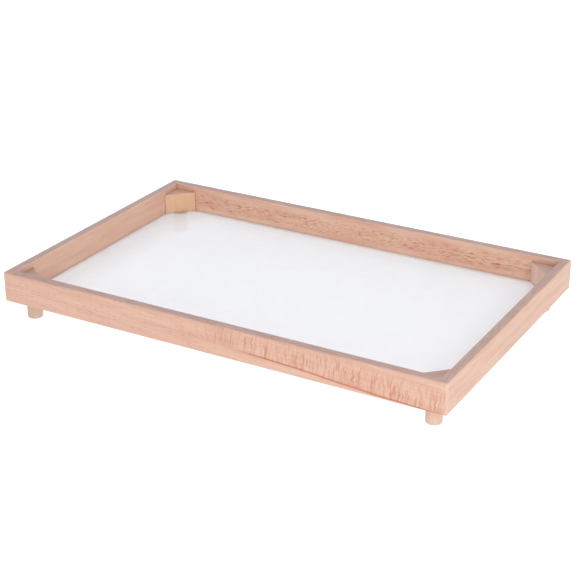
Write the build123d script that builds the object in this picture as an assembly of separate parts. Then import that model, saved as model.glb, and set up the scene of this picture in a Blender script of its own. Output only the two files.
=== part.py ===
"""Stackable drying tray: a mitred beech frame on four round feet, with a stretched net floor.

Millimetres. X runs along the tray, Y from front to back and Z up. The origin is the middle of the
tray on the surface that its feet stand on. Each node of the tray is written to parts/NODE.step.
"""

import os

from build123d import *

# ---- frame -----------------------------------------------------------------------------------
TRAY_LENGTH = 610.0  # over the side rails
TRAY_WIDTH = 390.0  # over the front and back rails
RAIL_HEIGHT = 40.0
RAIL_THICKNESS = 12.5
CORNER_ROUND = 3.0  # upright outer corners
OUTER_EDGE_ROUND = 2.5  # long outer edges, top and bottom
INNER_EDGE_ROUND = 1.2  # long inner edge of the rim

# ---- net, its rebate and its slips -----------------------------------------------------------
REBATE_WIDTH = 6.0  # cut into the lower inner edge of each rail
REBATE_DEPTH = 3.4
NET_THICKNESS = 0.5
NET_EDGE_GAP = 0.4  # from the net's edge to the rebate's wall
SLIP_GAP = 0.2  # from a slip to the rebate's wall, and between slips
SLIP_EDGE_ROUND = 0.8

# ---- corner blocks: the legs along the side rail and along the front or back rail --------------
BLOCK_LEGS = {
    "front_left": (32.0, 39.5),
    "front_right": (41.5, 41.5),
    "back_left": (32.0, 31.0),
    "back_right": (36.5, 36.5),
}
BLOCK_DROP = 8.3  # from the rim down to the top of a block
BLOCK_TIP = 0.8  # blunt face at each sharp end of a block
BLOCK_EDGE_ROUND = 0.4

# ---- feet ------------------------------------------------------------------------------------
FOOT_DIAMETER = 19.6
FOOT_BELOW_RAIL = 26.0
FOOT_TO_RAIL = 3.6  # gap from a foot to the two inner faces beside it
FOOT_END_ROUND = 2.0

# ---- foot screws, countersunk, with a cross recess ---------------------------------------------
SCREW_DIAMETER = 3.5
SCREW_LENGTH = 40.0
SCREW_HEAD_DIAMETER = 7.0
SCREW_POINT_LENGTH = 5.0
SCREW_SUNK = 6.0  # from the end of the foot to the head
SCREW_HOLE_GAP = 0.25  # round the shank, inside the foot
SCREW_HEAD_GAP = 0.4  # round the head
RECESS_SPAN, RECESS_WIDTH, RECESS_DEPTH = 4.0, 0.9, 1.6

# ---- staples that hold the slips and the net ---------------------------------------------------
STAPLE_CROWN = 8.0
STAPLE_LEG = 10.0
STAPLE_WIRE_WIDTH = 0.9
STAPLE_WIRE_THICKNESS = 0.7
STAPLES_LONG_SIDE = 6
STAPLES_SHORT_SIDE = 4
STAPLE_END_SPACE = 45.0  # from the inner corner of the frame to the first staple

# ---- pins across the mitres --------------------------------------------------------------------
PIN_DIAMETER = 1.2
PIN_LENGTH = 25.0
PIN_SET = 1.5  # from the outer face to the pin's end; the hole above it is filled
PIN_FROM_END = 8.0  # from the front or back face
PIN_HEIGHTS = (0.3, 0.7)  # shares of the rail's height

# ---- levels and places worked out from the sizes above -------------------------------------------
RAIL_BOTTOM = FOOT_BELOW_RAIL
RIM = RAIL_BOTTOM + RAIL_HEIGHT
NET_TOP = RAIL_BOTTOM + REBATE_DEPTH
NET_BOTTOM = NET_TOP - NET_THICKNESS
BLOCK_TOP = RIM - BLOCK_DROP
INNER_X = TRAY_LENGTH / 2 - RAIL_THICKNESS
INNER_Y = TRAY_WIDTH / 2 - RAIL_THICKNESS
REBATE_X = INNER_X + REBATE_WIDTH
REBATE_Y = INNER_Y + REBATE_WIDTH
FOOT_RADIUS = FOOT_DIAMETER / 2
FOOT_X = INNER_X - FOOT_TO_RAIL - FOOT_RADIUS
FOOT_Y = INNER_Y - FOOT_TO_RAIL - FOOT_RADIUS
PAST = 5.0  # how far a cutting tool runs past what it cuts

CORNERS = {
    "front_left": (-1, -1),
    "front_right": (1, -1),
    "back_left": (-1, 1),
    "back_right": (1, 1),
}
SIDES = {"front": 0, "right": 90, "back": 180, "left": 270}  # turned about Z from the front


def box_between(low: tuple, high: tuple) -> Solid:
    """The box with these lowest and highest corners."""
    size = [b - a for a, b in zip(low, high)]
    middle = [(a + b) / 2 for a, b in zip(low, high)]
    return Pos(*middle) * Box(*size)


def prism(points: list, bottom: float, top: float) -> Part:
    """The upright prism on a closed outline."""
    outline = make_face(Polyline(*points, close=True))
    return Pos(0, 0, bottom) * extrude(outline, top - bottom)


def frame_ring() -> Part:
    """All four rails in one ring: rounded outside, eased round the rim, rebated below."""
    ring = extrude(RectangleRounded(TRAY_LENGTH, TRAY_WIDTH, CORNER_ROUND), RAIL_HEIGHT)
    rims = [ring.faces().sort_by(Axis.Z)[end].edges() for end in (0, -1)]
    ring = fillet(rims[0] + rims[1], OUTER_EDGE_ROUND)
    ring = Pos(0, 0, RAIL_BOTTOM) * ring
    ring -= box_between((-INNER_X, -INNER_Y, 0), (INNER_X, INNER_Y, RIM + PAST))
    ring -= box_between((-REBATE_X, -REBATE_Y, 0), (REBATE_X, REBATE_Y, NET_TOP))
    inner_rim = [
        edge
        for edge in ring.edges().filter_by(GeomType.LINE)
        if abs(edge.center().Z - RIM) < 1e-6
        and abs(edge.center().X) <= INNER_X + 1e-6
        and abs(edge.center().Y) <= INNER_Y + 1e-6
    ]
    return fillet(inner_rim, INNER_EDGE_ROUND)


def mitre_wedge(side: str) -> Part:
    """The space of one rail, between the 45 degree mitre planes at its two ends."""
    along_x = side in ("front", "back")
    half, across = (TRAY_LENGTH, TRAY_WIDTH) if along_x else (TRAY_WIDTH, TRAY_LENGTH)
    half, across = half / 2, across / 2
    inside = RAIL_THICKNESS + PAST
    outline = [
        (-half - PAST, -across - PAST),
        (half + PAST, -across - PAST),
        (half - inside, -across + inside),
        (-half + inside, -across + inside),
    ]
    return Rot(0, 0, SIDES[side]) * prism(outline, 0, RIM + PAST)


def staple() -> Part:
    """A wire staple with its crown at z = 0 and along X, and its legs upwards."""
    half, side = STAPLE_CROWN / 2, STAPLE_WIRE_WIDTH / 2
    thick = STAPLE_WIRE_THICKNESS
    outside = box_between((-half, -side, 0), (half, side, STAPLE_LEG))
    top = STAPLE_LEG + PAST
    return outside - box_between((thick - half, -side - PAST, thick), (half - thick, side + PAST, top))


def net_staples() -> list:
    """Every staple, in rows along the middle of the slips, flush with their lower faces."""
    rows = {"front": STAPLES_LONG_SIDE, "back": STAPLES_LONG_SIDE}
    rows |= {"left": STAPLES_SHORT_SIDE, "right": STAPLES_SHORT_SIDE}
    placed = []
    for side, count in rows.items():
        along_x = side in ("front", "back")
        half, across = (INNER_X, INNER_Y) if along_x else (INNER_Y, INNER_X)
        first = -half + STAPLE_END_SPACE
        for step in range(count):
            along = first - 2 * first * step / (count - 1)
            spot = Pos(along, -across - REBATE_WIDTH / 2, RAIL_BOTTOM)
            placed.append(Rot(0, 0, SIDES[side]) * spot * staple())
    return placed


def mitre_pins() -> list:
    """Headless pins through the side rails' tips into the ends of the front and back rails."""
    placed = []
    for right, back in CORNERS.values():
        for share in PIN_HEIGHTS:
            start = right * (TRAY_LENGTH / 2 - PIN_SET - PIN_LENGTH / 2)
            height = RAIL_BOTTOM + share * RAIL_HEIGHT
            spot = Pos(start, back * (TRAY_WIDTH / 2 - PIN_FROM_END), height)
            placed.append(spot * Rot(0, 90, 0) * Cylinder(PIN_DIAMETER / 2, PIN_LENGTH))
    return placed


def screw() -> Part:
    """A countersunk wood screw, point upwards, with the face of its head at z = 0."""
    head, shank = SCREW_HEAD_DIAMETER / 2, SCREW_DIAMETER / 2
    profile = [
        (0, 0),
        (head, 0),
        (shank, head - shank),
        (shank, SCREW_LENGTH - SCREW_POINT_LENGTH),
        (0, SCREW_LENGTH),
    ]
    half = make_face(Polyline(*[(r, 0, z) for r, z in profile], close=True))
    body = revolve(half, Axis.Z)
    for turn in (0, 90):
        body -= Rot(0, 0, turn) * Box(RECESS_SPAN, RECESS_WIDTH, 2 * RECESS_DEPTH)
    return body


def foot() -> Part:
    """A length of dowel, rounded at its lower end, bored and countersunk for its screw."""
    length = NET_BOTTOM
    dowel = Pos(0, 0, length / 2) * Cylinder(FOOT_RADIUS, length)
    dowel = fillet(dowel.edges().sort_by(Axis.Z)[0], FOOT_END_ROUND)
    head, hole = SCREW_HEAD_DIAMETER / 2, SCREW_DIAMETER / 2 + SCREW_HOLE_GAP
    well = head + SCREW_HEAD_GAP
    bore = [
        (0, -PAST),
        (well, -PAST),
        (well, SCREW_SUNK - SCREW_HEAD_GAP),
        (hole, SCREW_SUNK + head - hole),
        (hole, length + PAST),
        (0, length + PAST),
    ]
    half = make_face(Polyline(*[(r, 0, z) for r, z in bore], close=True))
    return dowel - revolve(half, Axis.Z)


def corner_block(name: str) -> Part:
    """A triangular block that fills one inner corner, from the net up to its seat for a foot."""
    right, back = CORNERS[name]
    side_leg, end_leg = BLOCK_LEGS[name]
    outline = [
        (0, 0),
        (end_leg, 0),
        (end_leg, BLOCK_TIP),
        (BLOCK_TIP, side_leg),
        (0, side_leg),
    ]
    placed = [(right * (INNER_X - x), back * (INNER_Y - y)) for x, y in outline]
    block = prism(placed, NET_TOP, BLOCK_TOP)
    slant = block.faces().sort_by(Axis.Z)[-1].edges().sort_by(SortBy.LENGTH)[-1]
    return fillet(slant, BLOCK_EDGE_ROUND)


def slip(side: str) -> Part:
    """A flat strip that fills the rebate under the net; the long ones run past the short ones."""
    along_x = side in ("front", "back")
    if along_x:
        half, across = REBATE_X - SLIP_GAP, REBATE_Y
    else:
        half, across = INNER_Y - SLIP_GAP, REBATE_X
    strip = box_between(
        (-half, -across + SLIP_GAP, RAIL_BOTTOM), (half, -across + REBATE_WIDTH, NET_BOTTOM)
    )
    eased = strip.edges().filter_by(Axis.X).group_by(Axis.Z)[0].sort_by(Axis.Y)[-1]
    return Rot(0, 0, SIDES[side]) * fillet(eased, SLIP_EDGE_ROUND)


def net() -> Part:
    """The net as one thin sheet, up to the walls of the rebate."""
    x, y = REBATE_X - NET_EDGE_GAP, REBATE_Y - NET_EDGE_GAP
    return box_between((-x, -y, NET_BOTTOM), (x, y, NET_TOP))


def tray() -> dict:
    """Every node of the tray by name, each fastener with its own hole in what it holds."""
    pins, staples = mitre_pins(), net_staples()
    screws, nodes = [], {}
    ring = frame_ring()
    for side in SIDES:
        nodes[f"{side}_rail"] = (ring & mitre_wedge(side)) - pins - staples
        nodes[f"{side}_slip"] = slip(side) - staples
    for name, (right, back) in CORNERS.items():
        spot = Pos(right * FOOT_X, back * FOOT_Y, 0)
        screws.append(spot * Pos(0, 0, SCREW_SUNK) * screw())
        nodes[f"{name}_foot"] = spot * foot()
        nodes[f"{name}_block"] = corner_block(name) - screws[-1]
    nodes["net"] = net() - staples - screws
    nodes["net_staples"] = Compound(children=staples)
    nodes["mitre_pins"] = Compound(children=pins)
    nodes["foot_screws"] = Compound(children=screws)
    return nodes


os.makedirs("parts", exist_ok=True)
for node_name, shape in tray().items():
    export_step(shape, f"parts/{node_name}.step")
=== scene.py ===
"""Looks of a stackable drying tray: beech boards, a stretched net of real threads, and its studio.

Metres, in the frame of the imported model: X along the tray, Y from front to back, Z up.
Patterns are worked out in millimetres, because a maker thinks of wood and thread in them.
"""

import logging
import math
from dataclasses import dataclass, field, replace
from enum import Enum

import bpy
import numpy as np
from mathutils import Matrix, Vector


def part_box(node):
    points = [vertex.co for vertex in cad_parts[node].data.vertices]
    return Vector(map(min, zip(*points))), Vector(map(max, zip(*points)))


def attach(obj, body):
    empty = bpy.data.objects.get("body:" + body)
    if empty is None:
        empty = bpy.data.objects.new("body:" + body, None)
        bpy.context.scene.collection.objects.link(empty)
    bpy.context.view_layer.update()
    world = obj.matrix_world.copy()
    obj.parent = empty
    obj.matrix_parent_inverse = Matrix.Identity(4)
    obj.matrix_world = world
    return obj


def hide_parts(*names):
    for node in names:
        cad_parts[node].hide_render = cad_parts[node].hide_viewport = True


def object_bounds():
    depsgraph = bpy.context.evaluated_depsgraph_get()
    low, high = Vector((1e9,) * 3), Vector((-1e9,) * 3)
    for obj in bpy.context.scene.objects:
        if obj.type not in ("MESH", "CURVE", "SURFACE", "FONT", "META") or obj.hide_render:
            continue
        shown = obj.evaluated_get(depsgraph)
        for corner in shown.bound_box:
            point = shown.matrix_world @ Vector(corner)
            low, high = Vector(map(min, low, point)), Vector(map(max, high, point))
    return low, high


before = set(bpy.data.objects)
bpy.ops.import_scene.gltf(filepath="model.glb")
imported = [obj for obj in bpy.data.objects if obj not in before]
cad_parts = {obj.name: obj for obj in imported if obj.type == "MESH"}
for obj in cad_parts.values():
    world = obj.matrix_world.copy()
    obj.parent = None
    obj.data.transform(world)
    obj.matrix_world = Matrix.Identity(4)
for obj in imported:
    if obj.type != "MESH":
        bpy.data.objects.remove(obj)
CAD_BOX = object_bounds()

log = logging.getLogger("drying_tray")

MM = 0.001
COLOUR_A, COLOUR_B, COLOUR_OUT = 6, 7, 2  # sockets of a Mix node that mixes colours
ALONG, RADIAL, TANGENTIAL = 0, 1, 2  # the three directions in wood

Colour = tuple[float, float, float, float]  # linear red, green, blue and alpha
Size = tuple[float, float, float]
Pair = tuple[float, float]
Span = tuple[float, float]  # where something begins and where it is full
Source = bpy.types.Node | bpy.types.NodeSocket | float  # what an input of a node can take

# The cells of beech's patterns: along the grain, radial and tangential, in mm.
FIBRE_CELL = (15.0, 1.5, 1.5)  # fine streaks of open and closed fibres
DRIFT_CELL = (70.0, 8.0, 8.0)  # the slow drift of a board's tone
STRAY_CELL = (95.0, 26.0, 26.0)  # how the rings stray from true circles
SWAY_CELL = (30.0, 6.0, 6.0)  # how ray marks sway along the grain
SEED_SHARES = (1.0, 0.7, 1.3)  # a piece's seed moves its patterns by these, so that no two match

# Where a look begins and where it is full. Noise mostly lies between 0.3 and 0.7.
DRIFT = (0.32, 0.68)  # from body to pale, on noise
OPEN_FIBRE = (0.45, 0.25)  # on the noise of the fibres
MATT_TO_SHINY = (0.3, 0.7)  # on the noise of the fibres
GREYED = (0.35, 0.65)  # on the noise of the fibres
CLOUDY = (0.35, 0.65)  # on the noise of plated steel
END_GRAIN = (0.55, 0.9)  # the cosine between the normal and the grain
UPPER_SIDE = (0.85, 0.98)  # the normal's Z
ARRIS = (0.99, 0.75)  # the cosine between the rounded and the true normal
ENCLOSED = (0.96, 0.55)  # the share of open air

# The blocks at the two ends of each board, and the axis that the board runs along.
RAIL_ENDS = {
    "front": ("front_left_block", "front_right_block", 0),
    "back": ("back_left_block", "back_right_block", 0),
    "left": ("front_left_block", "back_left_block", 1),
    "right": ("front_right_block", "back_right_block", 1),
}


def linear(colour: str) -> Colour:
    """Turns an sRGB colour into the linear one that shaders take.

    Args:
        colour: the colour as "#RRGGBB".

    Returns:
        Linear red, green, blue and a full alpha.
    """
    shares = [int(colour[start : start + 2], 16) / 255 for start in (1, 3, 5)]
    low = [s / 12.92 for s in shares]
    high = [((s + 0.055) / 1.055) ** 2.4 for s in shares]
    return (*[a if s <= 0.04045 else b for s, a, b in zip(shares, low, high)], 1.0)


def grey(level: float) -> Colour:
    """Returns a linear grey with a full alpha."""
    return (level, level, level, 1.0)


class Recipe:
    """The node tree of a material or of the world, built from its coordinates to its surface."""

    def __init__(self, owner: bpy.types.Material | bpy.types.World) -> None:
        """Starts an empty node tree.

        Args:
            owner: the material or world that it belongs to.
        """
        self.owner = owner
        self.owner.use_nodes = True
        self.tree = self.owner.node_tree
        self.tree.nodes.clear()

    def add(self, kind: str, inputs: dict | None = None, **settings: object) -> bpy.types.Node:
        """Adds one node.

        Args:
            kind: the node's type, without its leading "ShaderNode".
            inputs: what each input takes, by the socket's name or number: a value, a socket, or
                a node for its first output.
            **settings: the node's own fields, such as operation.

        Returns:
            The new node.
        """
        made = self.tree.nodes.new("ShaderNode" + kind)
        for name, value in settings.items():
            setattr(made, name, value)
        for name, value in (inputs or {}).items():
            if isinstance(value, bpy.types.Node):
                value = value.outputs[0]
            if isinstance(value, bpy.types.NodeSocket):
                self.tree.links.new(value, made.inputs[name])
            else:
                made.inputs[name].default_value = value
        return made

    def math(self, operation: str, *values: Source) -> bpy.types.Node:
        """Adds one step of arithmetic on numbers."""
        return self.add("Math", dict(enumerate(values)), operation=operation)

    def vector(self, operation: str, *values: Source | Size | Vector) -> bpy.types.Node:
        """Adds one step of arithmetic on vectors."""
        return self.add("VectorMath", dict(enumerate(values)), operation=operation)

    def apart(self, vector: Source) -> bpy.types.Node:
        """Takes a vector apart into X, Y and Z."""
        return self.add("SeparateXYZ", {0: vector})

    def noise(
        self, place: Source, detail: float, scale: float = 1.0, roughness: float = 0.5
    ) -> bpy.types.Node:
        """Adds cloudy noise, whose values mostly lie between 0.3 and 0.7.

        Args:
            place: coordinates in which a cell is one unit each way.
            detail: how many finer layers lie on the first.
            scale: how many cells fit in one unit.
            roughness: how strong the finer layers are.

        Returns:
            The noise node.
        """
        inputs = {"Vector": place, "Scale": scale, "Detail": detail, "Roughness": roughness}
        return self.add("TexNoise", inputs)

    def ramp(
        self,
        value: Source,
        span: Span,
        low: Source = 0.0,
        high: Source = 1.0,
        shape: str = "LINEAR",
    ) -> bpy.types.Node:
        """Adds a ramp, which is flat beyond its two ends.

        Args:
            value: what the ramp follows.
            span: the value at its start and at its end, in either order.
            low: what it gives at its start.
            high: what it gives at its end.
            shape: LINEAR, SMOOTHSTEP or SMOOTHERSTEP.

        Returns:
            The ramp's node.
        """
        ends = {"From Min": span[0], "From Max": span[1], "To Min": low, "To Max": high}
        return self.add("MapRange", {"Value": value} | ends, interpolation_type=shape)

    def mixed(
        self, share: Source, first: Source | Colour, second: Source | Colour
    ) -> bpy.types.NodeSocket:
        """Mixes two colours.

        Args:
            share: how much of the second colour is taken.
            first: the colour at share 0.
            second: the colour at share 1.

        Returns:
            The socket with the result.
        """
        inputs = {0: share, COLOUR_A: first, COLOUR_B: second}
        return self.add("Mix", inputs, data_type="RGBA").outputs[COLOUR_OUT]

    def finish(self, shader: bpy.types.Node, out: str = "OutputMaterial") -> bpy.types.ID:
        """Puts the shader on the surface and returns the material or world."""
        self.add(out, {"Surface": shader})
        return self.owner


@dataclass(frozen=True)
class Window:
    """The stretch of wood that a mark keeps to, in one direction, in mm from the piece's middle."""

    direction: int
    low: float
    high: float
    fade: float  # how far inside and outside each end the mark fades


class Mark(Enum):
    """The two shapes that rays take on a planed face."""

    DASH = "short lenses along the grain, where the knife crossed the rays"
    RIPPLE = "wavy lines across the grain, where it ran along them"


@dataclass(frozen=True)
class Rays:
    """Ray marks of one kind, in wood a little darker than the rest.

    Beech rays are thin ribbons that run out from the pith. A real one is about 0.1 mm thick, and
    it is drawn one or two millimetres thick, so that it still shows on a whole tray.
    """

    mark: Mark
    size: Size  # cell along the grain, radial and tangential, mm
    share: float  # how many cells hold a dash, or how much of the wood ripples take
    depth: float  # how far a mark goes towards the ray colour
    wave: float  # how far the line of a mark wanders along the grain, mm
    windows: tuple[Window, ...]


@dataclass(frozen=True)
class Streak:
    """One growth ring that stands out, at a radial distance from the piece's middle."""

    at: float
    width: float
    depth: float  # how far it goes towards the ray colour
    windows: tuple[Window, ...]


class Fibres(Enum):
    """How a piece was cut from its board: the directions along the grain and out from the pith."""

    LONG_QUARTERED = ((1, 0, 0), (0, 0, 1))
    LONG_FLAT = ((1, 0, 0), (0, 1, 0))
    CROSS_QUARTERED = ((0, 1, 0), (0, 0, 1))
    UPRIGHT = ((0, 0, 1), (0.8, 0.6, 0))


@dataclass(frozen=True)
class Beech:
    """Steamed beech, planed, sanded and left bare.

    To the eye it is an even pinkish tan with a satin surface, faint growth rings, and the small
    ray marks that no other pale wood has. Fibres make it slightly rough across the grain.
    """

    name: str
    fibres: Fibres
    pale: str = "#D9B69C"
    body: str = "#CD9E87"
    late: str = "#C58A6A"  # the dense end of each year's growth
    ray: str = "#B96A44"
    end: str = "#D9AF9A"  # end grain drinks in light
    worn_and_lit: str = "#F4DFD2"  # arrises rubbed by hands and sanding, lightened further as painted highlight
    top_shade_and_sheen: str = "#9A7F72"  # painted shade and a greyish painted sheen on the upper sides of the boards
    shade_and_glue: str = "#8A4A22"  # painted shade in the inner corners, and glue in the mitre lines

    # How the piece grew and was cut.
    run_out: float = 1.0  # degrees between the rings and the piece's length
    pith: float = 140.0  # how far the pith is from the middle of the piece, mm
    ring: float = 3.4  # a year's growth, mm
    ring_depth: float = 0.16  # how far a ring goes towards the late wood's colour
    wander: float = 3.0  # how far a ring strays from a true circle, mm
    unevenness: float = 2.4  # how many years' growth the rings bunch up or thin out by
    early: float = 0.25  # the share of a year before its wood starts to darken
    mottle: float = 0.3  # how much the board's tone drifts between body and pale
    rays: tuple[Rays, ...] = ()
    streaks: tuple[Streak, ...] = ()
    seed: float = 0.0

    # Its surface.
    pore_depth: float = 0.3  # how far open fibres go towards the late wood's colour
    end_depth: float = 0.75  # how far end grain goes towards its own colour
    roughness: float = 0.44
    gloss_steps: Pair = (0.09, -0.05)  # added to the roughness on open and on closed fibres
    ray_gloss: float = -0.12  # added to it on a ray mark
    relief: float = 0.06  # how deep the open fibres are, mm
    late_height: float = 0.4  # how far late wood stands out, as a share of the relief

    # Its wear, its glue lines, and the shade and highlights painted into it.
    arris: float = 1.6  # how far from an arris the rubbing and painted highlight reach, mm
    rubbed_and_lit: float = 0.22  # how far an arris goes towards the lighter colour, for rubbing and painted highlight
    upright_highlight_reach: Span = (2.9, 1.9)  # the painted highlight's reach at the frame's upright corners, mm of |x| + |y|
    upright_highlight: float = 0.2  # how far those corners go towards the lighter colour, as painted highlight
    top_shade_share: Pair = (0.66, 0.36)  # of the painted top colour, on open and on closed fibres
    corner_shade: float = 0.25  # how dark the painted shade in the inner corners is
    corner_shade_reach: float = 3.6  # how close another piece stands where the painted shade falls, mm
    joint_shade: float = 0.6  # how dark the painted shade is beside the end of a block
    joint_reach: Span = (6.0, 3.5)  # where that starts and is full, mm from the block's end
    glue_line: float = 0.35  # half its width, mm of |x| - |y|
    glue_depth: float = 0.25  # how dark it is
    outline: Pair | None = None  # half the frame's length and width, mm
    joints: tuple[float, ...] = ()  # where blocks end, along the piece from its middle, mm

    def material(self, piece: bpy.types.Object) -> bpy.types.Material:
        """Makes the wood for one piece, with its pattern centred on that piece.

        Args:
            piece: the piece that it goes on.

        Returns:
            The finished material.
        """
        recipe = Recipe(bpy.data.materials.new(f"beech_{self.name}"))
        place = self._place(recipe, piece)
        axes = recipe.apart(place)
        ring = self._ring_distance(recipe, place)
        late = self._late_wood(recipe, ring)
        marks = self._marks(recipe, place, axes, ring)
        fibre = recipe.noise(self._stretched(recipe, place, FIBRE_CELL), detail=4.0)
        clean = self._clean_colour(recipe, place, late, marks, fibre)
        colour = self._used_colour(recipe, axes, fibre, clean)
        return self._surface(recipe, colour, late, marks, fibre)

    def _place(self, recipe: Recipe, piece: bpy.types.Object) -> bpy.types.Node:
        """Turns the piece's coordinates into wood's own: along, radial and tangential, in mm.

        Args:
            recipe: the node tree to add to.
            piece: the piece, whose middle becomes the pattern's zero.

        Returns:
            The Mapping node.
        """
        along, radial = (Vector(direction) for direction in self.fibres.value)
        axes = Matrix((along, radial, along.cross(radial)))
        turned = Matrix.Rotation(math.radians(self.run_out), 3, "Z") @ axes
        corners = np.array([v[:] for v in piece.bound_box])
        middle = Vector((corners.min(0) + corners.max(0)) / 2)
        source = recipe.add("TexCoord")
        return recipe.add(
            "Mapping",
            {
                "Vector": source.outputs["Object"],
                "Location": turned @ middle / -MM,
                "Rotation": turned.to_euler("XYZ"),
                "Scale": (1 / MM,) * 3,
            },
        )

    def _stretched(self, recipe: Recipe, place: bpy.types.Node, size: Size) -> bpy.types.Node:
        """Scales wood coordinates so that a pattern's cell has this size, and shifts them.

        Args:
            recipe: the node tree to add to.
            place: the wood coordinates in mm.
            size: the cell along, radial and tangential, mm.

        Returns:
            The Mapping node.
        """
        scale = tuple(1 / s for s in size)
        shift = tuple(self.seed * share for share in SEED_SHARES)
        return recipe.add("Mapping", {"Vector": place, "Scale": scale, "Location": shift})

    def _ring_distance(self, recipe: Recipe, place: bpy.types.Node) -> bpy.types.Node:
        """Works out how far each point is from the pith, beyond the middle of the piece.

        The distance is the length of (pith + radial, tangential), less pith, plus slow noise
        that makes the rings wander.

        Args:
            recipe: the node tree to add to.
            place: the wood coordinates in mm.

        Returns:
            A node whose first output is that distance in mm.
        """
        cell = self._stretched(recipe, place, STRAY_CELL)
        slow = recipe.noise(cell, detail=2.5, roughness=0.45)
        from_pith = recipe.vector("ADD", place, (0, self.pith, 0))
        across = recipe.vector("MULTIPLY", from_pith, (0, 1, 1))
        length = recipe.vector("LENGTH", across)
        stray = recipe.math("MULTIPLY_ADD", slow, 2 * self.wander, -self.pith - self.wander)
        return recipe.math("ADD", length.outputs["Value"], stray)

    def _late_wood(self, recipe: Recipe, ring: bpy.types.Node) -> bpy.types.Node:
        """Shades each ring: pale for most of the year, then dark, then a sharp new start.

        Args:
            recipe: the node tree to add to.
            ring: the distance from the pith.

        Returns:
            A node whose first output is 0 in early wood and 1 at the end of the year.
        """
        years = recipe.math("DIVIDE", ring, self.ring)
        spells = {"W": years, "Scale": 0.45, "Detail": 2.0}  # about two good or bad years each
        uneven = recipe.add("TexNoise", spells, noise_dimensions="1D")
        shifted = recipe.math("MULTIPLY_ADD", uneven, self.unevenness, years)
        share = recipe.math("FRACT", shifted)
        return recipe.ramp(share, (self.early, 1.0), shape="SMOOTHERSTEP")

    def _within(
        self,
        recipe: Recipe,
        axes: bpy.types.Node,
        ring: bpy.types.Node,
        windows: tuple[Window, ...],
        share: Source,
    ) -> Source:
        """Fades a mark out beyond its windows.

        Args:
            recipe: the node tree to add to.
            axes: the wood coordinates, separated.
            ring: the distance from the pith, which stands for the radial direction.
            windows: where the mark shows.
            share: the mark's own strength.

        Returns:
            The strength times one smooth step for each side of each window.
        """
        for window in windows:
            value = ring if window.direction == RADIAL else axes.outputs[window.direction]
            for edge, outward in ((window.low, -window.fade), (window.high, window.fade)):
                step = recipe.ramp(value, (edge + outward, edge - outward), shape="SMOOTHSTEP")
                share = recipe.math("MULTIPLY", share, step)
        return share

    def _marks(
        self, recipe: Recipe, place: bpy.types.Node, axes: bpy.types.Node, ring: bpy.types.Node
    ) -> Source:
        """Adds up the ray marks and the streaks.

        Each ray mark lies in stretched cells, which slow noise sways along the grain. A streak
        shows where the ring distance is close to its own.

        Args:
            recipe: the node tree to add to.
            place: the wood coordinates in mm.
            axes: the same, separated.
            ring: the distance from the pith.

        Returns:
            The strength of the marks.
        """
        total: Source = 0.0
        for rays in self.rays:
            sway = recipe.noise(self._stretched(recipe, place, SWAY_CELL), detail=2.0)
            swung = recipe.math("MULTIPLY_ADD", sway, rays.wave * 2, -rays.wave)
            shift = recipe.add("CombineXYZ", {ALONG: swung, TANGENTIAL: swung})
            moved = recipe.vector("ADD", place, shift)
            cell = self._stretched(recipe, moved, rays.size)
            draw = self._dashes if rays.mark is Mark.DASH else self._ripples
            deep = recipe.math("MULTIPLY", draw(recipe, cell, rays.share), rays.depth)
            seen = self._within(recipe, axes, ring, rays.windows, deep)
            total = recipe.math("ADD", seen, total)
        for streak in self.streaks:
            off = recipe.math("SUBTRACT", ring, streak.at)
            far = recipe.math("ABSOLUTE", off)
            line = recipe.ramp(far, (streak.width, 0.0), high=streak.depth, shape="SMOOTHSTEP")
            seen = self._within(recipe, axes, ring, streak.windows, line)
            total = recipe.math("ADD", seen, total)
        return total

    def _dashes(self, recipe: Recipe, cell: bpy.types.Node, share: float) -> bpy.types.Node:
        """Draws one lens in each Voronoi cell whose random colour is under the share.

        Args:
            recipe: the node tree to add to.
            cell: coordinates in which a cell is one unit each way.
            share: how many cells hold a lens.

        Returns:
            A node whose first output is the strength of the dashes.
        """
        lens_edge, lens_heart = 0.48, 0.16
        full = share * 0.4
        cells = recipe.add("TexVoronoi", {"Vector": cell, "Scale": 1.0})
        distance = cells.outputs["Distance"]
        lens = recipe.ramp(distance, (lens_edge, lens_heart), shape="SMOOTHSTEP")
        chance = recipe.add("SeparateColor", {0: cells.outputs["Color"]})
        held = recipe.ramp(chance.outputs[0], (share, full))
        return recipe.math("MULTIPLY", lens, held)

    def _ripples(self, recipe: Recipe, cell: bpy.types.Node, share: float) -> bpy.types.Node:
        """Draws soft lines on the crests of stretched noise, stronger in some places.

        Args:
            recipe: the node tree to add to.
            cell: coordinates in which a cell is one unit each way.
            share: how much of the wood the lines take.

        Returns:
            A node whose first output is the strength of the ripples.
        """
        foot, crest = 0.68 - share / 2, 0.86 - share / 2
        faint, patch_scale = 0.45, 0.23
        noise = recipe.noise(cell, detail=2.0)
        line = recipe.ramp(noise, (foot, crest), shape="SMOOTHSTEP")
        patches = recipe.noise(cell, detail=1.0, scale=patch_scale)
        strong = recipe.ramp(patches, (0.35, 0.6), low=faint)
        return recipe.math("MULTIPLY", line, strong)

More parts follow.
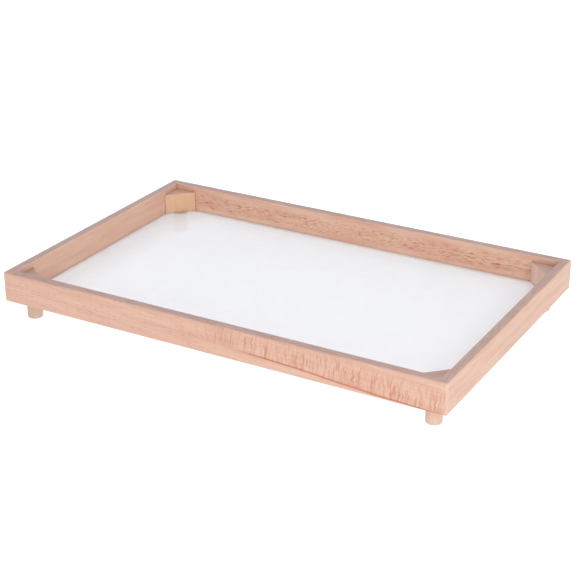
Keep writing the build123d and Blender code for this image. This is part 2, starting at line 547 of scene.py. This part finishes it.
    def _clean_colour(
        self,
        recipe: Recipe,
        place: bpy.types.Node,
        late: bpy.types.Node,
        marks: Source,
        fibre: bpy.types.Node,
    ) -> bpy.types.NodeSocket:
        """Builds up the colour of fresh wood: its drift in tone, rings, fibres, marks and ends.

        Args:
            recipe: the node tree to add to.
            place: the wood coordinates in mm.
            late: the shade of the rings.
            marks: the strength of the ray marks and streaks.
            fibre: the fine streaks along the grain.

        Returns:
            The socket with the colour.
        """
        drift = recipe.noise(self._stretched(recipe, place, DRIFT_CELL), detail=3.0)
        tone = recipe.ramp(drift, DRIFT, 0.5 - self.mottle, 0.5 + self.mottle)
        colour = recipe.mixed(tone, linear(self.body), linear(self.pale))
        shade = recipe.math("MULTIPLY", late, self.ring_depth)
        colour = recipe.mixed(shade, colour, linear(self.late))
        pores = recipe.ramp(fibre, OPEN_FIBRE, high=self.pore_depth)
        colour = recipe.mixed(pores, colour, linear(self.late))
        colour = recipe.mixed(marks, colour, linear(self.ray))
        source = recipe.add("TexCoord")
        along = Vector(self.fibres.value[0])
        facing = recipe.vector("DOT_PRODUCT", source.outputs["Normal"], along)
        flat = recipe.math("ABSOLUTE", facing.outputs["Value"])
        end = recipe.ramp(flat, END_GRAIN, high=self.end_depth)
        return recipe.mixed(end, colour, linear(self.end))

    def _used_colour(
        self,
        recipe: Recipe,
        axes: bpy.types.Node,
        fibre: bpy.types.Node,
        colour: bpy.types.NodeSocket,
    ) -> bpy.types.NodeSocket:
        """Ages and shades the colour: painted shade and sheen on the frame's upper sides, rubbing
        and painted highlight on arrises, painted shade and glue lines in the corners.

        Args:
            recipe: the node tree to add to.
            axes: the wood coordinates, separated.
            fibre: the fine streaks along the grain.
            colour: the colour of fresh wood.

        Returns:
            The socket with the colour.
        """
        source = recipe.add("TexCoord")
        if self.outline is not None:
            # The upper sides get painted shade and a greyish painted sheen.
            uneven = recipe.ramp(fibre, GREYED, *self.top_shade_share)
            up = recipe.apart(source.outputs["Normal"])
            shaded_top = recipe.ramp(up.outputs["Z"], UPPER_SIDE, high=uneven)
            colour = recipe.mixed(shaded_top, colour, linear(self.top_shade_and_sheen))
        reach = recipe.apart(recipe.vector("ABSOLUTE", source.outputs["Object"]))
        # Arrises are lightened by rubbing and by painted highlight, the upright corners by painted
        # highlight.
        colour = recipe.mixed(self._wear_and_highlight(recipe, reach), colour, linear(self.worn_and_lit))
        # Painted shade in the inner corners and beside the ends of the blocks, with the mitres' glue
        # lines.
        return recipe.mixed(self._corner_shade_and_glue(recipe, axes, reach), colour, linear(self.shade_and_glue))

    def _wear_and_highlight(self, recipe: Recipe, reach: bpy.types.Node) -> bpy.types.Node:
        """Finds the arrises, where a rounded normal leans away from the true one, for rubbing and
        painted highlight.

        On the frame, the upright corners get a painted highlight: they are where |x| + |y| is
        greatest.

        Args:
            recipe: the node tree to add to.
            reach: the absolute x, y and z, in metres.

        Returns:
            A node whose first output rises towards a sharp outer edge.
        """
        rounded = recipe.add("Bevel", {"Radius": self.arris * MM}, samples=4)
        true = recipe.add("NewGeometry")
        agree = recipe.vector("DOT_PRODUCT", rounded, true.outputs["Normal"])
        arris = recipe.ramp(agree.outputs["Value"], ARRIS, high=self.rubbed_and_lit)
        if self.outline is None:
            return arris
        total = recipe.math("ADD", reach.outputs["X"], reach.outputs["Y"])
        span = tuple((sum(self.outline) - back) * MM for back in self.upright_highlight_reach)
        upright = recipe.ramp(total, span, high=self.upright_highlight, shape="SMOOTHSTEP")
        return recipe.math("MAXIMUM", arris, upright)

    def _corner_shade_and_glue(self, recipe: Recipe, axes: bpy.types.Node, reach: bpy.types.Node) -> bpy.types.Node:
        """Finds the inner corners, where something stands close, for painted shade, and the mitres'
        glue lines.

        The painted shade is strongest where a block ends. A glue line is where |x| - |y| comes
        within half its width of the mitre plane.

        Args:
            recipe: the node tree to add to.
            axes: the wood coordinates, separated.
            reach: the absolute x, y and z, in metres.

        Returns:
            A node whose first output is the strength of the painted shade and the glue.
        """
        most: Source = self.corner_shade
        for joint in self.joints:
            off = recipe.math("SUBTRACT", axes.outputs[ALONG], joint)
            far = recipe.math("ABSOLUTE", off)
            beside = recipe.ramp(far, self.joint_reach, high=self.joint_shade)
            most = recipe.math("MAXIMUM", beside, most)
        # Occlusion finds where shade falls, and that shade is painted in as colour.
        air = recipe.add("AmbientOcclusion", {"Distance": self.corner_shade_reach * MM}, samples=4)
        close = recipe.ramp(air.outputs["AO"], ENCLOSED, high=most, shape="SMOOTHSTEP")
        if self.outline is None:
            return close
        across = recipe.math("SUBTRACT", reach.outputs["X"], reach.outputs["Y"])
        mitre = (self.outline[0] - self.outline[1]) * MM
        line = recipe.math("COMPARE", across, mitre, self.glue_line * MM)
        glue = recipe.math("MULTIPLY", line, self.glue_depth)
        return recipe.math("MAXIMUM", close, glue)

    def _surface(
        self,
        recipe: Recipe,
        colour: bpy.types.NodeSocket,
        late: bpy.types.Node,
        marks: Source,
        fibre: bpy.types.Node,
    ) -> bpy.types.Material:
        """Adds relief and gloss: open fibres, harder late wood, and rays that shine a little.

        Args:
            recipe: the node tree to add to.
            colour: the socket with the colour.
            late: the shade of the rings.
            marks: the strength of the marks.
            fibre: the fine streaks along the grain.

        Returns:
            The finished material.
        """
        height = recipe.math("MULTIPLY_ADD", late, self.late_height, fibre)
        depth = self.relief * MM
        relief = recipe.add("Bump", {"Strength": 0.5, "Distance": depth, "Height": height})
        matt, shiny = (self.roughness + step for step in self.gloss_steps)
        gloss = recipe.ramp(fibre, MATT_TO_SHINY, matt, shiny)
        shine = recipe.math("MULTIPLY_ADD", marks, self.ray_gloss, gloss)
        shader = recipe.add(
            "BsdfPrincipled",
            {"Base Color": colour, "Roughness": shine, "Normal": relief, "IOR": 1.5},
        )
        return recipe.finish(shader)


@dataclass(frozen=True)
class PlatedSteel:
    """Zinc-plated or galvanised steel, as it comes from the plating barrel.

    To the eye it is a pale bluish grey metal, a little cloudy, with duller patches where pieces
    have rubbed on each other.
    """

    name: str
    bright: str = "#C9CDD1"
    dull: str = "#8F9499"
    roughness: float = 0.32
    patch: float = 1.4  # mm across a cloudy patch
    gloss_steps: Pair = (0.2, -0.1)  # added to the roughness where it is dull and where bright
    finer: float = 9.0  # how many drawing marks cross a patch
    relief: float = 0.02  # how deep a drawing mark is, mm

    def material(self) -> bpy.types.Material:
        """Makes the metal: two greys in soft patches, and fine drawing marks in its relief.

        Returns:
            The finished material.
        """
        recipe = Recipe(bpy.data.materials.new(f"steel_{self.name}"))
        source = recipe.add("TexCoord").outputs["Object"]
        place = recipe.add("Mapping", {"Vector": source, "Scale": (1 / MM / self.patch,) * 3})
        cloud = recipe.noise(place, detail=5.0)
        scratch = recipe.noise(place, detail=3.0, scale=self.finer)
        share = recipe.ramp(cloud, CLOUDY)
        colour = recipe.mixed(share, linear(self.dull), linear(self.bright))
        matt, shiny = (self.roughness + step for step in self.gloss_steps)
        gloss = recipe.ramp(cloud, (0.0, 1.0), matt, shiny)
        depth = self.relief * MM
        relief = recipe.add("Bump", {"Strength": 0.3, "Distance": depth, "Height": scratch})
        shader = recipe.add(
            "BsdfPrincipled",
            {"Base Color": colour, "Metallic": 1.0, "Roughness": gloss, "Normal": relief},
        )
        return recipe.finish(shader)


@dataclass(frozen=True)
class NetPolyester:
    """White polyester monofilament, drawn and bonded where the threads cross.

    To the eye it is a clean cool white that lets most of the light through, with a soft gloss
    along each thread.
    """

    white: str = "#FFFFFE"
    shade: str = "#F8F8F8"
    through: float = 0.86  # how much of the thread passes light on from behind
    roughness: float = 0.4
    gloss_steps: Pair = (0.15, -0.15)  # added to the roughness of shaded and of white stretches
    patch: float = 14.0  # mm between lighter and darker stretches of thread

    def material(self) -> bpy.types.Material:
        """Makes the polyester: a glossy white side for light in front, and one for light behind.

        Returns:
            The finished material.
        """
        recipe = Recipe(bpy.data.materials.new("polyester_net_thread"))
        source = recipe.add("TexCoord").outputs["Object"]
        place = recipe.add("Mapping", {"Vector": source, "Scale": (1 / MM / self.patch,) * 3})
        drawn = recipe.noise(place, detail=4.0)
        colour = recipe.mixed(drawn, linear(self.shade), linear(self.white))
        matt, shiny = (self.roughness + step for step in self.gloss_steps)
        gloss = recipe.ramp(drawn, (0.0, 1.0), matt, shiny)
        face = {"Base Color": colour, "Roughness": gloss, "IOR": 1.57}
        front = recipe.add("BsdfPrincipled", face)
        behind = recipe.add("BsdfTranslucent", {"Color": colour})
        return recipe.finish(recipe.add("MixShader", {0: self.through, 1: front, 2: behind}))


@dataclass(frozen=True)
class Sweep:
    """A white studio floor lit from below, so bright that a shadow on it hardly shows."""

    glow: float = 1.07
    paper: float = 0.08  # how much of the studio's light it gives back

    def material(self) -> bpy.types.Material:
        """Makes the floor's material: mostly glow, with a little matt paper.

        Returns:
            The finished material.
        """
        recipe = Recipe(bpy.data.materials.new("sweep_paper"))
        glow = recipe.add("Emission", {"Color": grey(1.0), "Strength": self.glow})
        paper = recipe.add("BsdfDiffuse", {"Color": grey(self.paper)})
        return recipe.finish(recipe.add("AddShader", {0: glow, 1: paper}))


def dress(node: str, material: bpy.types.Material) -> None:
    """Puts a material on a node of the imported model.

    Args:
        node: the node's name.
        material: its new finish.
    """
    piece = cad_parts[node]
    if not piece.material_slots:
        piece.data.materials.append(material)
    for place in piece.material_slots:
        place.material = material
    log.info("%s: %s", node, material.name)


def mesh_object(name: str, points: np.ndarray, faces: np.ndarray) -> bpy.types.Object:
    """Makes an object at the origin from arrays.

    Args:
        name: the object's name.
        points: one row of x, y, z for each point, in metres.
        faces: one row of point numbers for each four-sided face.

    Returns:
        The object, linked to the scene.
    """
    mesh = bpy.data.meshes.new(name)
    mesh.vertices.add(len(points))
    mesh.vertices.foreach_set("co", points.astype(np.float32).ravel())
    mesh.loops.add(faces.size)
    mesh.loops.foreach_set("vertex_index", faces.astype(np.int32).ravel())
    mesh.polygons.add(len(faces))
    starts = np.arange(len(faces), dtype=np.int32) * faces.shape[1]
    mesh.polygons.foreach_set("loop_start", starts)
    mesh.update(calc_edges=True)
    mesh.validate()
    made = bpy.data.objects.new(name, mesh)
    bpy.context.scene.collection.objects.link(made)
    return made


@dataclass
class RailFrame:
    """The four mitred boards and the slips under them, each cut from its own part of a board."""

    front: Beech = Beech(
        name="front_rail",
        fibres=Fibres.LONG_QUARTERED,
        run_out=3.35,
        pith=260.0,
        ring=4.2,
        wander=2.2,
        seed=3.1,
        pale="#DEBAA2",
        body="#D3A38E",
        rays=(
            Rays(
                Mark.DASH,
                size=(9.0, 2.0, 6.0),
                share=0.7,
                depth=0.3,
                wave=0.5,
                windows=(Window(ALONG, -400.0, 0.0, fade=80.0),),
            ),
            Rays(
                Mark.RIPPLE,
                size=(1.7, 19.0, 30.0),
                share=0.45,
                depth=0.62,
                wave=2.8,
                windows=(
                    Window(ALONG, -10.0, 420.0, fade=100.0),
                    Window(RADIAL, -1.5, 60.0, fade=1.5),
                    Window(RADIAL, -60.0, 24.0, fade=8.0),
                ),
            ),
        ),
        streaks=(
            Streak(at=-1.9, width=1.9, depth=0.95, windows=(Window(ALONG, 50.0, 500.0, fade=25.0),)),
            Streak(at=-1.9, width=1.6, depth=0.35, windows=(Window(ALONG, -80.0, 20.0, fade=60.0),)),
        ),
    )
    back: Beech = Beech(
        name="back_rail",
        fibres=Fibres.LONG_FLAT,
        run_out=2.0,
        pith=70.0,
        ring=4.0,
        wander=4.0,
        mottle=0.42,
        seed=7.7,
        pale="#E4BFA4",
        body="#D7A58E",
        top_shade_and_sheen="#8D8174",
        rays=(
            Rays(
                Mark.RIPPLE,
                size=(7.0, 16.0, 1.5),
                share=0.42,
                depth=0.65,
                wave=1.6,
                windows=(Window(TANGENTIAL, -10.0, 11.0, fade=6.0),),
            ),
            Rays(
                Mark.DASH,
                size=(12.0, 20.0, 1.9),
                share=0.8,
                depth=0.5,
                wave=2.2,
                windows=(Window(TANGENTIAL, -8.0, 9.0, fade=6.0),),
            ),
            Rays(
                Mark.DASH,
                size=(20.0, 20.0, 2.3),
                share=0.8,
                depth=0.5,
                wave=2.0,
                windows=(
                    Window(ALONG, 90.0, 250.0, fade=30.0),
                    Window(TANGENTIAL, -7.0, 12.0, fade=4.0),
                ),
            ),
        ),
    )
    left: Beech = Beech(
        name="left_rail",
        fibres=Fibres.CROSS_QUARTERED,
        ring_depth=0.14,
        seed=12.4,
        top_shade_and_sheen="#A48F84",
    )
    right: Beech = Beech(
        name="right_rail",
        fibres=Fibres.CROSS_QUARTERED,
        mottle=0.35,
        seed=21.9,
        pale="#DDBBA2",
        body="#D1A38D",
        top_shade_and_sheen="#A68877",
    )

    def dress(self) -> None:
        """Gives each board and its slip their wood."""
        outline = tuple(size / MM for size in CAD_BOX[1][:2])
        for side, wood in vars(self).items():
            first, last, axis = RAIL_ENDS[side]
            joints = (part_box(first)[1][axis] / MM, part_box(last)[0][axis] / MM)
            rail = replace(wood, outline=outline, joints=joints)
            dress(f"{side}_rail", rail.material(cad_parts[f"{side}_rail"]))
            slip = replace(wood, name=f"{side}_slip", seed=wood.seed + 5, streaks=())
            dress(f"{side}_slip", slip.material(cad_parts[f"{side}_slip"]))


@dataclass
class Corners:
    """The triangular blocks with their grain upright, and the dowel feet under them."""

    block: Beech = Beech(
        name="block",
        fibres=Fibres.UPRIGHT,
        ring=2.6,
        ring_depth=0.12,
        pith=60.0,
        mottle=0.25,
        corner_shade=0.35,
    )
    foot: Beech = Beech(
        name="foot",
        fibres=Fibres.UPRIGHT,
        ring=2.2,
        ring_depth=0.12,
        pith=35.0,
        mottle=0.42,
        # the end grain is painted lighter, as painted light that cancels the shade on the foot's top
        # under the net
        end="#EAD5C2",
        corner_shade=0.0,
    )
    tones: dict[str, tuple[str, ...]] = field(
        default_factory=lambda: {  # of each block: pale, darker and end grain; then of its foot
            # front_left's end grain and foot tones are darker as painted shade.
            "front_left": ("#E8C2A6", "#DDAC90", "#B08C78", "#D0B29B", "#C39F89"),
            "front_right": ("#DDBBA4", "#CDA28A", "#B49381", "#DEC3AC", "#D0AE98"),
            "back_left": ("#E3BE9B", "#D7A983", "#C99E86", "#DEC3AC", "#D0AE98"),
            "back_right": ("#F1D4C1", "#E6BFAB", "#BF9A87", "#DEC3AC", "#D0AE98"),
        }
    )

    def dress(self) -> None:
        """Gives each block and foot its own cut of wood."""
        seed, next_corner = 1.0, 4.3
        for corner, (pale, body, end, foot_pale, foot_body) in self.tones.items():
            block = replace(self.block, pale=pale, body=body, end=end)
            foot = replace(self.foot, pale=foot_pale, body=foot_body)
            for kind, wood in (("block", block), ("foot", foot)):
                node = f"{corner}_{kind}"
                cut = replace(wood, name=node, seed=seed)
                dress(node, cut.material(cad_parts[node]))
            seed += next_corner


@dataclass
class Fasteners:
    """Screws, staples and pins, most of them out of sight."""

    finishes: dict[str, PlatedSteel] = field(
        default_factory=lambda: {
            "foot_screws": PlatedSteel("zinc_screw"),
            "net_staples": PlatedSteel("staple_wire", roughness=0.38, patch=0.8),
            "mitre_pins": PlatedSteel("drawn_pin", bright="#B9B7B4", dull="#8A8783", patch=0.6),
        }
    )

    def dress(self) -> None:
        """Gives each group of fasteners its metal."""
        for node, finish in self.finishes.items():
            dress(node, finish.material())


@dataclass
class NetFloor:
    """The net as its threads: one layer along the tray and one across, pulled tight.

    Each thread is a closed tube. Both layers hang by the same small amount.
    """

    pitch: float = 1.0  # from thread to thread, mm
    thickness: float = 0.35  # of a thread, mm
    sides: int = 6  # of each tube, an even number
    spacing: float = 0.8  # between the layers' middles in thicknesses, as crossings are bonded
    spans: int = 8  # stretches of each thread
    sag: float = 1.0  # at the middle of the net, mm
    finish: NetPolyester = NetPolyester()

    def _layer(
        self, low: np.ndarray, high: np.ndarray, along: int, level: float
    ) -> tuple[np.ndarray, np.ndarray]:
        """Makes the parallel threads of one layer.

        The threads lie evenly from edge to edge, a pitch or a little more apart. A point on a
        thread is at share t of its length and at angle a round it: x and y move with t and with
        cos a, and z is the layer's level, plus sin a times the radius, less
        sag (1 - X^2) (1 - Y^2). X and Y are the shares of the way from the middle to the inner
        faces of the boards, and beyond those the threads lie level.

        Args:
            low: the net's lowest corner, mm.
            high: its highest corner, mm.
            along: 0 for threads along X, 1 along Y.
            level: the height of the threads' centres, mm.

        Returns:
            Points in mm, and faces of four points each.
        """
        across = 1 - along
        radius = self.thickness / 2
        width = high[across] - low[across] - 2 * radius
        count = int(width / self.pitch) + 1
        places = np.linspace(low[across] + radius, high[across] - radius, count)
        runs = np.linspace(low[along], high[along], self.spans + 1)
        turns = np.arange(self.sides) * (2 * math.pi / self.sides)
        place, run, turn = np.meshgrid(places, runs, turns, indexing="ij")
        points = np.empty(place.shape + (3,))
        points[..., along] = run
        points[..., across] = place + radius * np.cos(turn)
        open_x, open_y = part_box("right_rail")[0].x / MM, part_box("back_rail")[0].y / MM
        dip_x = np.clip(1 - (points[..., 0] / open_x) ** 2, 0, 1)
        dip_y = np.clip(1 - (points[..., 1] / open_y) ** 2, 0, 1)
        points[..., 2] = level + radius * np.sin(turn) - self.sag * dip_x * dip_y
        ring = np.arange(self.sides)
        after = np.roll(ring, -1)
        quads = np.stack([ring, after, after + self.sides, ring + self.sides], -1)
        tube = (quads + np.arange(self.spans)[:, None, None] * self.sides).reshape(-1, 4)
        fan = ring[1:-1:2]
        near_cap = np.stack([fan * 0, fan + 2, fan + 1, fan], -1)
        far_cap = np.stack([fan * 0, fan, fan + 1, fan + 2], -1) + self.spans * self.sides
        one = np.concatenate([tube, near_cap, far_cap])
        if along == 0:
            one = one[:, ::-1]
        per_thread = (self.spans + 1) * self.sides
        faces = one + np.arange(count)[:, None, None] * per_thread
        return points.reshape(-1, 3), faces.reshape(-1, 4)

    def build(self) -> bpy.types.Object:
        """Returns:
            The net's object.
        """
        low, high = (np.array(corner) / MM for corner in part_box("net"))
        middle = (low[2] + high[2]) / 2
        rise = self.spacing * self.thickness / 2
        lengthwise, first = self._layer(low, high, 0, middle + rise)
        crosswise, second = self._layer(low, high, 1, middle - rise)
        points = np.concatenate([lengthwise, crosswise]) * MM
        faces = np.concatenate([first, second + len(lengthwise)])
        net = mesh_object("net_threads", points, faces)
        net.data.polygons.foreach_set("use_smooth", np.ones(len(faces), bool))
        net.data.materials.append(self.finish.material())
        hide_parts("net")
        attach(net, "root")
        log.info("net_threads: %d faces", len(faces))
        return net


@dataclass
class Studio:
    """A pale floor, soft light from all round, a large soft lamp and the camera, in metres."""

    yaw: float = 29.48  # degrees from the front towards the right
    pitch: float = 24.34  # degrees above the floor
    distance: float = 1.8456  # from the camera to its aim
    aim: Size = (0.01525, -0.02715, 0.01333)  # from the middle of the tray
    lens: float = 91.18  # mm
    sensor: float = 36.0  # mm across
    floor_size: float = 30.0
    horizon: float = 1.06  # how bright it is all round
    zenith: float = 0.93  # and overhead, before its tint
    zenith_from: float = 0.7  # the direction's Z from which the light is the zenith's
    tint: Size = (0.95, 0.99, 1.17)  # the cool light from overhead
    haze: float = 1.1  # the light where the floor ends, as white as the floor
    haze_top: float = 0.16  # the direction's Z above which there is none
    flag: float = 0.4  # how much light is left on the side away from the lamp
    flag_edge: Span = (0.9, 0.1)  # full and no shade, by how far a direction is to the left
    lamp_power: float = 6.2  # W
    lamp_size: float = 1.0
    lamp_distance: float = 1.45
    lamp_yaw: float = 36.0
    lamp_pitch: float = 22.0

    def _towards(self, yaw: float, pitch: float) -> Vector:
        """Turns two angles into a direction.

        Args:
            yaw: degrees from the front towards the right.
            pitch: degrees above the floor.

        Returns:
            The direction from the tray, of length 1.
        """
        turn, rise = math.radians(yaw), math.radians(pitch)
        flat = math.cos(rise)
        return Vector((math.sin(turn) * flat, -math.cos(turn) * flat, math.sin(rise)))

    def _stand(self, thing: bpy.types.Object, spot: Vector, target: Vector) -> None:
        """Links a camera or lamp to the scene and aims it.

        Args:
            thing: the camera or lamp.
            spot: where it stands.
            target: what it looks at.
        """
        bpy.context.scene.collection.objects.link(thing)
        thing.location = spot
        thing.rotation_euler = (spot - target).to_track_quat("Z", "Y").to_euler()

    def build(self) -> None:
        """Makes the floor, the light and the camera."""
        low, high = (Vector(corner) for corner in CAD_BOX)
        target = (low + high) / 2 + Vector(self.aim)
        camera = bpy.data.cameras.new("camera")
        camera.lens, camera.sensor_width = self.lens, self.sensor
        seat = bpy.data.objects.new("camera", camera)
        self._stand(seat, target + self._towards(self.yaw, self.pitch) * self.distance, target)
        bpy.context.scene.camera = seat
        lamp = bpy.data.lights.new("soft_lamp", "AREA")
        lamp.energy, lamp.size = self.lamp_power, self.lamp_size
        holder = bpy.data.objects.new("soft_lamp", lamp)
        spot = target + self._towards(self.lamp_yaw, self.lamp_pitch) * self.lamp_distance
        self._stand(holder, spot, target)
        self._floor()
        self._sky()
        bpy.context.scene.view_settings.view_transform = "Standard"

    def _floor(self) -> None:
        """Makes the floor, one flat sheet under the feet."""
        half = self.floor_size / 2
        points = np.array([(-half, -half, 0), (half, -half, 0), (half, half, 0), (-half, half, 0)])
        floor = mesh_object("floor", points, np.array([[0, 1, 2, 3]]))
        floor.data.materials.append(Sweep().material())

    def _sky(self) -> None:
        """Makes the light from all round: dimmer overhead and on the left, white at the floor's end.

        The share of the overhead light grows with the direction's Z, the flag's shade with how
        far the direction agrees with the camera's left.
        """
        recipe = Recipe(bpy.data.worlds.new("studio"))
        source = recipe.add("TexCoord").outputs["Generated"]
        rise = recipe.apart(source).outputs["Z"]
        height = recipe.ramp(rise, (0.0, self.zenith_from))
        overhead = (*[self.zenith * share for share in self.tint], 1.0)
        open_sky = recipe.mixed(height, grey(self.horizon), overhead)
        left = recipe.vector("DOT_PRODUCT", source, self._towards(self.yaw - 90, 0))
        shade = recipe.ramp(left.outputs["Value"], self.flag_edge, low=self.flag)
        shaded = {0: open_sky, "Scale": shade}
        flagged = recipe.add("VectorMath", shaded, operation="SCALE")
        clear = recipe.ramp(rise, (0.0, self.haze_top), shape="SMOOTHSTEP")
        light = recipe.add("Background", {"Color": recipe.mixed(clear, grey(self.haze), flagged)})
        bpy.context.scene.world = recipe.finish(light, "OutputWorld")


def main() -> None:
    """Builds and dresses the tray in order."""
    logging.basicConfig(level=logging.INFO, format="%(name)s %(message)s")
    Studio().build()
    RailFrame().dress()
    Corners().dress()
    Fasteners().dress()
    NetFloor().build()


if __name__ == "__main__":
    main()
